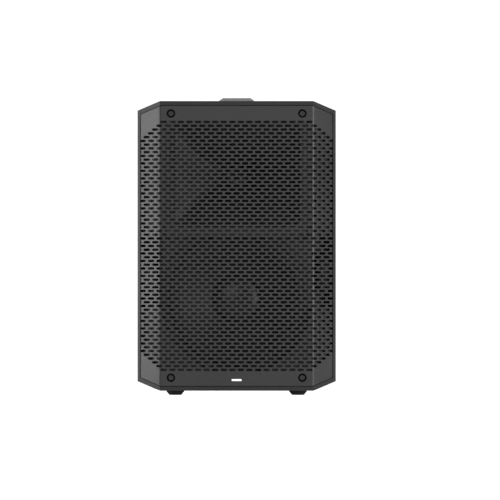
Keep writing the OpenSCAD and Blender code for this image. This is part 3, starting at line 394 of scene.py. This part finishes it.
HOLE_STEPS = 14
SCREW_X = 92.1 * MM
SCREW_HIGH = 394.6 * MM
SCREW_LOW = 24.4 * MM
DISH_R = 6.1 * MM
DISH_COLUMNS = (14, 17)
DISH_ROWS = (33.5, 36.5)
LENS_LOW, LENS_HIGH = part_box("status_light_lens")
LENS_Z = (LENS_LOW.z + LENS_HIGH.z) / 2
LENS_R = 1.35 * MM
LENS_HALF = 7.05 * MM
LENS_COLUMNS = 2
LENS_ROWS = (-36.5, -34.5)


def has_slot(row, x):
    """Rows count down from 0 at the top. Near the slanted corners the rows are shorter."""
    from_end = min(row, ROWS - 1 - row)
    if from_end < 0:
        return False
    return from_end >= SHORT_ROWS or abs(x) <= TOP_REACH + from_end * REACH_STEP


def closed_ring(shape, points):
    """Edges through points (x, z) in the XZ plane."""
    corners = [shape.verts.new((x, 0, z)) for x, z in points]
    return [shape.edges.new((a, b)) for a, b in zip(corners, corners[1:] + corners[:1])]


def slot_ring(shape, half, radius, steps, centre=(0, 0)):
    """A slot with round ends."""
    x, z = centre
    points = arc((x + half - radius, z), radius, -90, 90, steps)
    points += arc((x - half + radius, z), radius, 90, 270, steps)
    return closed_ring(shape, points)


def rectangle_ring(shape, low, high):
    """A rectangle with a corner at every half pitch across and every row up."""
    step_x, step_z = SLOT_PITCH / 2, ROW_PITCH
    across = round((high[0] - low[0]) / step_x)
    up = round((high[1] - low[1]) / step_z)
    points = [(low[0] + i * step_x, low[1]) for i in range(across)]
    points += [(high[0], low[1] + i * step_z) for i in range(up)]
    points += [(high[0] - i * step_x, high[1]) for i in range(across)]
    points += [(low[0], high[1] - i * step_z) for i in range(up)]
    return closed_ring(shape, points)


def hole_patches():
    """Grid rectangles round the screw dishes and the light: low, high, centre, half and radius."""
    near_x, far_x = (count * SLOT_PITCH / 2 for count in DISH_COLUMNS)
    near_z, far_z = (count * ROW_PITCH for count in DISH_ROWS)
    found = []
    for side in (-1, 1):
        x0, x1 = sorted((side * near_x, side * far_x))
        found.append(((x0, MID_Z + near_z), (x1, MID_Z + far_z),
                      (side * SCREW_X, SCREW_HIGH), DISH_R, DISH_R))
        found.append(((x0, MID_Z - far_z), (x1, MID_Z - near_z),
                      (side * SCREW_X, SCREW_LOW), DISH_R, DISH_R))
    lens_x = LENS_COLUMNS * SLOT_PITCH / 2
    low, high = (MID_Z + count * ROW_PITCH for count in LENS_ROWS)
    found.append(((-lens_x, low), (lens_x, high), (0, LENS_Z), LENS_HALF, LENS_R))
    return found


def slot_cell():
    cell = bmesh.new()
    rim = rectangle_ring(cell, (-SLOT_PITCH / 2, -ROW_PITCH / 2), (SLOT_PITCH / 2, ROW_PITCH / 2))
    hole = slot_ring(cell, SLOT_W / 2, SLOT_H / 2, SLOT_STEPS)
    bmesh.ops.bridge_loops(cell, edges=rim + hole)
    return to_mesh("slot_cell", cell)


def blank_cell():
    cell = bmesh.new()
    for side in (-1, 1):
        ring = rectangle_ring(cell, (min(0, side * SLOT_PITCH / 2), -ROW_PITCH / 2),
                              (max(0, side * SLOT_PITCH / 2), ROW_PITCH / 2))
        bmesh.ops.contextual_create(cell, geom=ring)
    return to_mesh("blank_cell", cell)


def lay_cells(shape):
    """Cells with and without a slot, laid out past every edge of the sheet."""
    with_slot, without = slot_cell(), blank_cell()
    for row in range(-SPARE_ROWS, ROWS + SPARE_ROWS):
        z = MID_Z + ((ROWS - 1) / 2 - row) * ROW_PITCH
        offset = 0 if row % 2 else SLOT_PITCH / 2
        for column in range(-HALF_COLUMNS, HALF_COLUMNS):
            x = column * SLOT_PITCH + offset
            before = len(shape.verts)
            shape.from_mesh(with_slot if has_slot(row, x) else without)
            shape.verts.ensure_lookup_table()
            bmesh.ops.translate(shape, verts=shape.verts[before:], vec=(x, 0, z))


def cut_holes(shape):
    """The screws' holes and the light's slot, in place of the blank cells there."""
    holes = hole_patches()
    inside = []
    for face in shape.faces:
        middle = face.calc_center_median()
        if any(low[0] < middle.x < high[0] and low[1] < middle.z < high[1] for low, high, *_ in holes):
            inside.append(face)
    bmesh.ops.delete(shape, geom=inside, context="FACES")
    for low, high, centre, half, radius in holes:
        rim = rectangle_ring(shape, low, high)
        hole = slot_ring(shape, half, radius, HOLE_STEPS, centre)
        bmesh.ops.bridge_loops(shape, edges=rim + hole)
    bmesh.ops.remove_doubles(shape, verts=shape.verts, dist=1e-5)


def slice_at(shape, place, way, cut_away=True):
    bmesh.ops.bisect_plane(shape, geom=shape.verts[:] + shape.edges[:] + shape.faces[:], dist=1e-7,
                           plane_co=place, plane_no=way, clear_outer=cut_away)


def trim_outline(shape):
    """The sheet's straight edges, its slanted corners and the lines that it folds along."""
    side, low, high = GRILLE_HIGH.x, GRILLE_LOW.z, GRILLE_HIGH.z
    slice_at(shape, (side, 0, 0), (1, 0, 0))
    slice_at(shape, (-side, 0, 0), (-1, 0, 0))
    slice_at(shape, (0, 0, high), (0, 0, 1))
    slice_at(shape, (0, 0, low), (0, 0, -1))
    for x_way in (-1, 1):
        slice_at(shape, (x_way * CORNER_X, 0, high), (x_way * CORNER_SLOPE, 0, 1))
        slice_at(shape, (x_way * CORNER_X, 0, low), (x_way * CORNER_SLOPE, 0, -1))
        for share in FOLD_SHARES:
            slice_at(shape, (x_way * (FLAT_X + share * FOLD_R), 0, 0), (1, 0, 0), cut_away=False)


def fold_back(x):
    """How far the sheet falls back at a distance from the middle, with a soft fold."""
    past = abs(x) - FLAT_X
    if abs(past) < FOLD_R:
        past = (past + FOLD_R) ** 2 / (4 * FOLD_R)
    return max(0.0, past) * FACET_DEPTH / FACET_RUN


def fold_and_thicken(shape):
    for corner in shape.verts:
        corner.co.y = FRONT + fold_back(corner.co.x)
    bmesh.ops.remove_doubles(shape, verts=shape.verts, dist=1e-6)
    bmesh.ops.recalc_face_normals(shape, faces=shape.faces)
    facing = sum(f.normal.y * f.calc_area() for f in shape.faces)
    if facing > 0:
        bmesh.ops.reverse_faces(shape, faces=shape.faces)
    grown = bmesh.ops.extrude_face_region(shape, geom=shape.faces[:], use_keep_orig=True)
    fresh = [g for g in grown["geom"] if isinstance(g, bmesh.types.BMVert)]
    slope = math.atan(FACET_DEPTH / FACET_RUN)
    for corner in fresh:
        corner.co.y += SHEET / (math.cos(slope) if abs(corner.co.x) > FLAT_X + 1e-6 else 1.0)
    bmesh.ops.recalc_face_normals(shape, faces=shape.faces)


def make_grille():
    shape = bmesh.new()
    lay_cells(shape)
    cut_holes(shape)
    trim_outline(shape)
    fold_and_thicken(shape)
    return add_object("grille_sheet", shape, smooth_angle=25)


# millimetres
DISH_GAP = 0.02
DISH_DEPTH = 2.55
DISH_BACK = 4
DISH_LIP = 1.4
DISH_SCREW_R = 2.4
DISH_SIDES = 48


def make_dishes():
    """The pressed dishes that the grille screws sit in."""
    front, wall = FRONT / MM, DISH_R / MM
    floor, back, lip = front + DISH_DEPTH, front + DISH_BACK, front + SHEET / MM
    profile = [(wall, front + DISH_GAP), (wall, floor), (DISH_SCREW_R, floor), (DISH_SCREW_R, back),
               (wall + DISH_LIP, back), (wall + DISH_LIP, lip), (wall + DISH_GAP, lip)]
    return [lathe("grille_dish_" + name, profile, x, z, DISH_SIDES)
            for name, x, z in (("a", -SCREW_X, SCREW_HIGH), ("b", SCREW_X, SCREW_HIGH),
                               ("c", -SCREW_X, SCREW_LOW), ("d", SCREW_X, SCREW_LOW))]


# ---------- horn ----------

HORN_LOW, HORN_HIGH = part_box("horn")
THROAT_LOW, THROAT_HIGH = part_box("tweeter_front_plate")
HORN_Z = (THROAT_LOW.z + THROAT_HIGH.z) / 2
HORN_FRONT = HORN_LOW.y
HORN_DEPTH = HORN_HIGH.y - HORN_LOW.y
FLANGE_T = 3.4 * MM
FLANGE_EDGE = 0.6 * MM
FLANGE_SQUARE = 26
MOUTH_X = 88.5 * MM
MOUTH_Z = 71 * MM
MOUTH_EDGE = 1.6 * MM
MOUTH_LIP = 0.5 * MM
MOUTH_SQUARE = 24
THROAT_R = 12.7 * MM
THROAT_ROUND = 2
BELL_START = 1.4 * MM
BELL_SHORT = 4 * MM
BELL_STEPS = 22
FLARE_X = 1.15
FLARE_Z = 2.2
FLARE_SQUARE = 0.8
HORN_WALL = 2.6 * MM
RING_CORNERS = 72


def ring_points(half_x, half_z, power, y, z):
    """A ring that goes from round (power 2) towards square (a high power)."""
    points = []
    for step in range(RING_CORNERS):
        angle = math.tau * (step + 0.5) / RING_CORNERS
        c, s = math.cos(angle), math.sin(angle)
        length = (abs(c) ** power + abs(s) ** power) ** (-1 / power)
        points.append(Vector((half_x * c * length, y, z + half_z * s * length)))
    return points


def horn_rings():
    """Rings from the flange's back edge, over its front and down the bell to the throat."""
    flange_z = (HORN_LOW.z + HORN_HIGH.z) / 2
    half_x, half_z = HORN_HIGH.x, (HORN_HIGH.z - HORN_LOW.z) / 2
    edge, lip = MOUTH_EDGE, MOUTH_LIP
    rings = [
        ring_points(half_x, half_z, FLANGE_SQUARE, HORN_FRONT + FLANGE_T, flange_z),
        ring_points(half_x, half_z, FLANGE_SQUARE, HORN_FRONT + FLANGE_EDGE, flange_z),
        ring_points(half_x - FLANGE_EDGE, half_z - FLANGE_EDGE, FLANGE_SQUARE, HORN_FRONT, flange_z),
        ring_points(MOUTH_X + edge, MOUTH_Z + edge, MOUTH_SQUARE, HORN_FRONT, HORN_Z),
        ring_points(MOUTH_X + lip, MOUTH_Z + lip, MOUTH_SQUARE, HORN_FRONT + lip, HORN_Z),
    ]
    for step in range(BELL_STEPS + 1):
        left = 1 - step / BELL_STEPS
        bell_x = THROAT_R + (MOUTH_X - THROAT_R) * left ** FLARE_X
        bell_z = THROAT_R + (MOUTH_Z - THROAT_R) * left ** FLARE_Z
        power = THROAT_ROUND + (MOUTH_SQUARE - THROAT_ROUND) * left ** FLARE_SQUARE
        y = HORN_FRONT + BELL_START + (HORN_DEPTH - BELL_SHORT) * (1 - left)
        rings.append(ring_points(bell_x, bell_z, power, y, HORN_Z))
    return rings


def make_horn():
    """The flange, the flared bell and the throat as one skin, thickened to a wall."""
    rings = horn_rings()
    shape = bmesh.new()
    loop = bmesh.ops.create_circle(shape, segments=RING_CORNERS, radius=1)["verts"]
    edges = shape.edges[:]
    for corner, place in zip(loop, rings[0]):
        corner.co = place
    for ring in rings[1:]:
        grown = bmesh.ops.extrude_edge_only(shape, edges=edges)["geom"]
        edges = [g for g in grown if isinstance(g, bmesh.types.BMEdge)
                 and all(v not in loop for v in g.verts)]
        fresh = {v for e in edges for v in e.verts}
        follow = {}
        for corner in loop:
            for link in corner.link_edges:
                other = link.other_vert(corner)
                if other in fresh:
                    follow[corner] = other
        loop = [follow[corner] for corner in loop]
        for corner, place in zip(loop, ring):
            corner.co = place
    bmesh.ops.recalc_face_normals(shape, faces=shape.faces)
    widest = max(shape.faces, key=lambda f: f.calc_area() if abs(f.normal.y) > 0.9 else 0)
    if widest.normal.y > 0:
        bmesh.ops.reverse_faces(shape, faces=shape.faces)
    piece = add_object("horn_bell", shape, smooth_angle=30)
    wall = piece.modifiers.new("wall", "SOLIDIFY")
    wall.thickness = HORN_WALL
    wall.offset = -1
    wall.use_even_offset = False
    return piece


# ---------- woofer ----------

WOOFER_LOW, WOOFER_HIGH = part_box("woofer_cone")
WOOFER_Z = (WOOFER_LOW.z + WOOFER_HIGH.z) / 2

# millimetres, steps and counts
ROLL_OUTER = 94.0
ROLL_RUBBER = 0.7
ROLL_SEAT = 0.15
ROLL_FACE = 0.9
ROLL_LAP = 4
LIP_OUTER = 96.2
LIP_EDGE = 0.6
ROLL_STEPS = 14
CONE_SET_BACK = 0.7
CONE_NECK = 6.3
CONE_INNER = 27.5
CONE_GAP = 0.2
CONE_PAPER = 0.9
CONE_CURVE = 0.88
CONE_STEPS = 30
RIB = 0.45
RIB_STEPS = (5, 9, 13)
CAP_PAPER = 0.7
CAP_STEPS = 14
SPIDER_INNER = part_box("woofer_voice_coil")[1].x / MM + 0.3
SPIDER_CLOTH = 0.5
SPIDER_STEPS = 60
SPIDER_WAVES = 5
SPIDER_EASE_IN = 12
SPIDER_EASE_OUT = 6
OUTER_SIDES = 120
INNER_SIDES = 72


def make_surround():
    """A half roll between the frame and the cone, with a flat lip on each side."""
    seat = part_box("woofer_frame")[0].y / MM - ROLL_SEAT
    face = seat - ROLL_FACE
    back = face + ROLL_RUBBER
    inner = WOOFER_HIGH.x / MM
    middle, roll = (inner + ROLL_OUTER) / 2, (ROLL_OUTER - inner) / 2
    profile = [(inner - ROLL_LAP, face)] + arc((middle, face), roll, -180, 0, ROLL_STEPS)
    profile += [(LIP_OUTER, face), (LIP_OUTER, seat), (ROLL_OUTER - LIP_EDGE, seat)]
    profile += arc((middle, back), roll - ROLL_RUBBER, 0, -180, ROLL_STEPS) + [(inner - ROLL_LAP, back)]
    return lathe("woofer_roll", profile, 0, WOOFER_Z, OUTER_SIDES)


def make_cone():
    """A slightly curved cone with pressed rings."""
    front = WOOFER_LOW.y / MM + CONE_SET_BACK
    fall = (WOOFER_HIGH.y - WOOFER_LOW.y) / MM - CONE_NECK
    outer = WOOFER_HIGH.x / MM - CONE_GAP
    face = []
    for step in range(CONE_STEPS + 1):
        share = step / CONE_STEPS
        rib = RIB if step in RIB_STEPS else 0.0
        face.append((outer + (CONE_INNER - outer) * share, front + fall * share ** CONE_CURVE - rib))
    back = [(r, y + CONE_PAPER) for r, y in face[::-1]]
    return lathe("woofer_paper_cone", face + back, 0, WOOFER_Z, OUTER_SIDES, smooth_angle=50)


def make_dust_cap():
    low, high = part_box("woofer_dust_cap")
    rim, top = high.y / MM, low.y / MM
    outside = []
    for step in range(CAP_STEPS + 1):
        angle = math.pi / 2 * step / CAP_STEPS
        outside.append((high.x / MM * math.sin(angle), rim - (rim - top) * math.cos(angle)))
    inside = [(max(0.0, r - CAP_PAPER), y + CAP_PAPER) for r, y in outside[::-1]]
    return lathe("woofer_cap", outside + inside, 0, WOOFER_Z, INNER_SIDES, smooth_angle=60)


def make_spider():
    """A corrugated cloth ring between the coil and the frame."""
    low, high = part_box("woofer_spider")
    outer = high.x / MM
    middle, swing = (low.y + high.y) / 2 / MM, (high.y - low.y) / 2 / MM - SPIDER_CLOTH
    landing = high.y / MM - SPIDER_CLOTH / 2
    line = []
    for step in range(SPIDER_STEPS + 1):
        share = step / SPIDER_STEPS
        ease = min(1.0, SPIDER_EASE_IN * share, SPIDER_EASE_OUT * (1 - share))
        wave = middle + swing * math.sin(math.tau * SPIDER_WAVES * share)
        line.append((SPIDER_INNER + (outer - SPIDER_INNER) * share, landing + ease * (wave - landing)))
    face = [(r, y - SPIDER_CLOTH / 2) for r, y in line]
    back = [(r, y + SPIDER_CLOTH / 2) for r, y in line[::-1]]
    return lathe("corrugated_spider", face + back, 0, WOOFER_Z, INNER_SIDES, smooth_angle=60)


def ride_radially(piece):
    """Bakes the piece's place into its mesh; it stays fixed and does not follow the cone, the coil or the
    frame.
    """
    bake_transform(piece)


def make_woofer():
    surround = make_surround()
    surround.data.materials.append(MATERIALS["surround"])
    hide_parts("woofer_surround")
    ride_radially(surround)
    spider = make_spider()
    spider.data.materials.append(MATERIALS["spider"])
    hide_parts("woofer_spider")
    ride_radially(spider)
    finish_piece(make_cone(), "woofer_moving", "cone_paper", MATERIALS["cone"], "woofer_cone")
    finish_piece(make_dust_cap(), "woofer_moving", "cap_paper", MATERIALS["cap"], "woofer_dust_cap")


# ---------- cabinet ----------

def make_front():
    finish_piece(make_grille(), "cabinet", "grille_paint", MATERIALS["grille"], "front_grille")
    for dish in make_dishes():
        finish_piece(dish, "cabinet", "grille_paint", MATERIALS["grille"])
    finish_piece(make_horn(), "cabinet", "dark_plastic", MATERIALS["horn"], "horn")


# node, piece, width of its edges in millimetres, material, slot and body
SOFTENED = [
    ("front_shell", "front_half", 0.4, "shell", "shell_plastic", "cabinet"),
    ("rear_shell", "rear_half", 1.0, "shell", "shell_plastic", "cabinet"),
    ("handle_cup", "carry_cup", 1.0, "shell", "shell_plastic", "cabinet"),
    ("handle_bar", "carry_bar", 2.6, "handle", "handle_plastic", "cabinet"),
    ("amp_panel", "rear_plate", 0.4, "panel", "panel_paint", "cabinet"),
    ("gain_knob_1", "gain_knob_a", 0.5, "knob", "knob_plastic", "gain_1"),
    ("gain_knob_2", "gain_knob_b", 0.5, "knob", "knob_plastic", "gain_2"),
    ("master_knob", "level_knob", 0.5, "knob", "knob_plastic", "master"),
    ("mode_button", "mode_key", 0.4, "handle", "knob_plastic", "mode"),
    ("power_switch", "rocker", 0.4, "socket", "jack_plastic", "switch"),
    ("power_inlet", "mains_inlet", 0.5, "socket", "jack_plastic", "cabinet"),
    ("input_jacks", "input_sockets", 0.5, "socket", "jack_plastic", "cabinet"),
    ("feet", "rubber_feet", 0.7, "rubber", "foot_rubber", "cabinet"),
    ("pole_socket", "stand_socket", 0.6, "dark", "dark_plastic", "cabinet"),
    ("port_tubes", "bass_ports", 0.6, "dark", "dark_plastic", "cabinet"),
    ("grille_screws", "front_screws", 0.15, "dark_screw", "screw_steel", "cabinet"),
    ("grille_washers", "front_washers", 0.3, "washer", "dark_plastic", "cabinet"),
]

# nodes that keep their CAD shape, and their materials
PLAIN = {
    "shell_screws": "black_screw", "status_light_lens": "lens", "status_light_board": "board",
    "fixing_screws": "screw", "foot_screws": "screw", "bracket_inserts": "brass",
    "damping_pads": "wadding", "speaker_wires": "wire", "woofer_frame": "frame",
    "woofer_gasket": "foam", "woofer_screws": "black_screw", "woofer_voice_coil": "copper",
    "woofer_top_plate": "zinc", "woofer_magnet": "ferrite", "woofer_yoke": "zinc",
    "woofer_terminals": "brass", "horn_screws": "black_screw", "tweeter_front_plate": "zinc",
    "tweeter_phase_plug": "dark", "tweeter_diaphragm": "aluminium", "tweeter_magnet": "ferrite",
    "tweeter_yoke": "zinc", "tweeter_cover": "dark", "tweeter_bolts": "screw",
    "panel_gasket": "foam", "panel_screws": "black_screw", "heat_sink": "aluminium",
    "amp_board": "board", "power_parts": "wound", "input_board": "board",
    "board_standoffs": "brass", "jack_latch_1": "zinc", "jack_latch_2": "zinc",
    "output_jack": "socket", "aux_jack": "socket", "control_pots": "zinc",
    "panel_lights": "dim_lens",
}


def make_cabinet():
    for node, name, width, material, slot, body in SOFTENED:
        finish_piece(softened(node, name, width * MM), body, slot, MATERIALS[material], node)
    for node, material in PLAIN.items():
        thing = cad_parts[node]
        thing.data.materials.clear()
        thing.data.materials.append(MATERIALS[material])


# ---------- knob marks ----------

KNOBS = {"gain_knob_1": "gain_1", "gain_knob_2": "gain_2", "master_knob": "master"}
MARKS = 11
SWEEP = 300
LONG_MARKS = (0, 5, 10)
LONG_MARK = 2.6 * MM
SHORT_MARK = 1.8 * MM
MARK_R = 11.9 * MM
MARK_W = 0.5 * MM
PAINT_T = 0.06 * MM
POINTER_SIZE = (0.9 * MM, 0.4 * MM, 5.8 * MM)
POINTER_SUNK = 0.3 * MM
POINTER_R = 4.5 * MM


def make_dial_marks():
    """Printed marks round each knob, a thin raised coat of paint on the panel."""
    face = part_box("amp_panel")[1].y
    shape = bmesh.new()
    for node in KNOBS:
        low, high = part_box(node)
        middle = (low + high) / 2
        for step in range(MARKS):
            angle = math.radians(SWEEP * step / (MARKS - 1) - SWEEP / 2)
            length = LONG_MARK if step in LONG_MARKS else SHORT_MARK
            mark = bmesh.ops.create_cube(shape, size=1)["verts"]
            bmesh.ops.scale(shape, verts=mark, vec=(MARK_W, PAINT_T, length))
            bmesh.ops.translate(shape, verts=mark, vec=(0, 0, MARK_R + length / 2))
            bmesh.ops.rotate(shape, verts=mark, cent=(0, 0, 0), matrix=Matrix.Rotation(angle, 3, "Y"))
            bmesh.ops.translate(shape, verts=mark, vec=(middle.x, face + PAINT_T / 2, middle.z))
    finish_piece(add_object("dial_marks", shape), "cabinet", "lens", MATERIALS["paint"])


def make_pointers():
    """A pale line in the groove of each knob."""
    for node, body in KNOBS.items():
        low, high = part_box(node)
        middle = (low + high) / 2
        shape = bmesh.new()
        bmesh.ops.create_cube(shape, size=1)
        bmesh.ops.scale(shape, verts=shape.verts, vec=POINTER_SIZE)
        bmesh.ops.translate(shape, verts=shape.verts,
                            vec=(middle.x, high.y - POINTER_SUNK, middle.z + POINTER_R))
        finish_piece(add_object(node + "_pointer", shape), body, "lens", MATERIALS["paint"])


# ---------- the whole scene ----------

make_camera()
make_stage()
make_world()
for light in LIGHTS:
    area_light(*light)

make_front()
make_woofer()
make_cabinet()
make_dial_marks()
make_pointers()
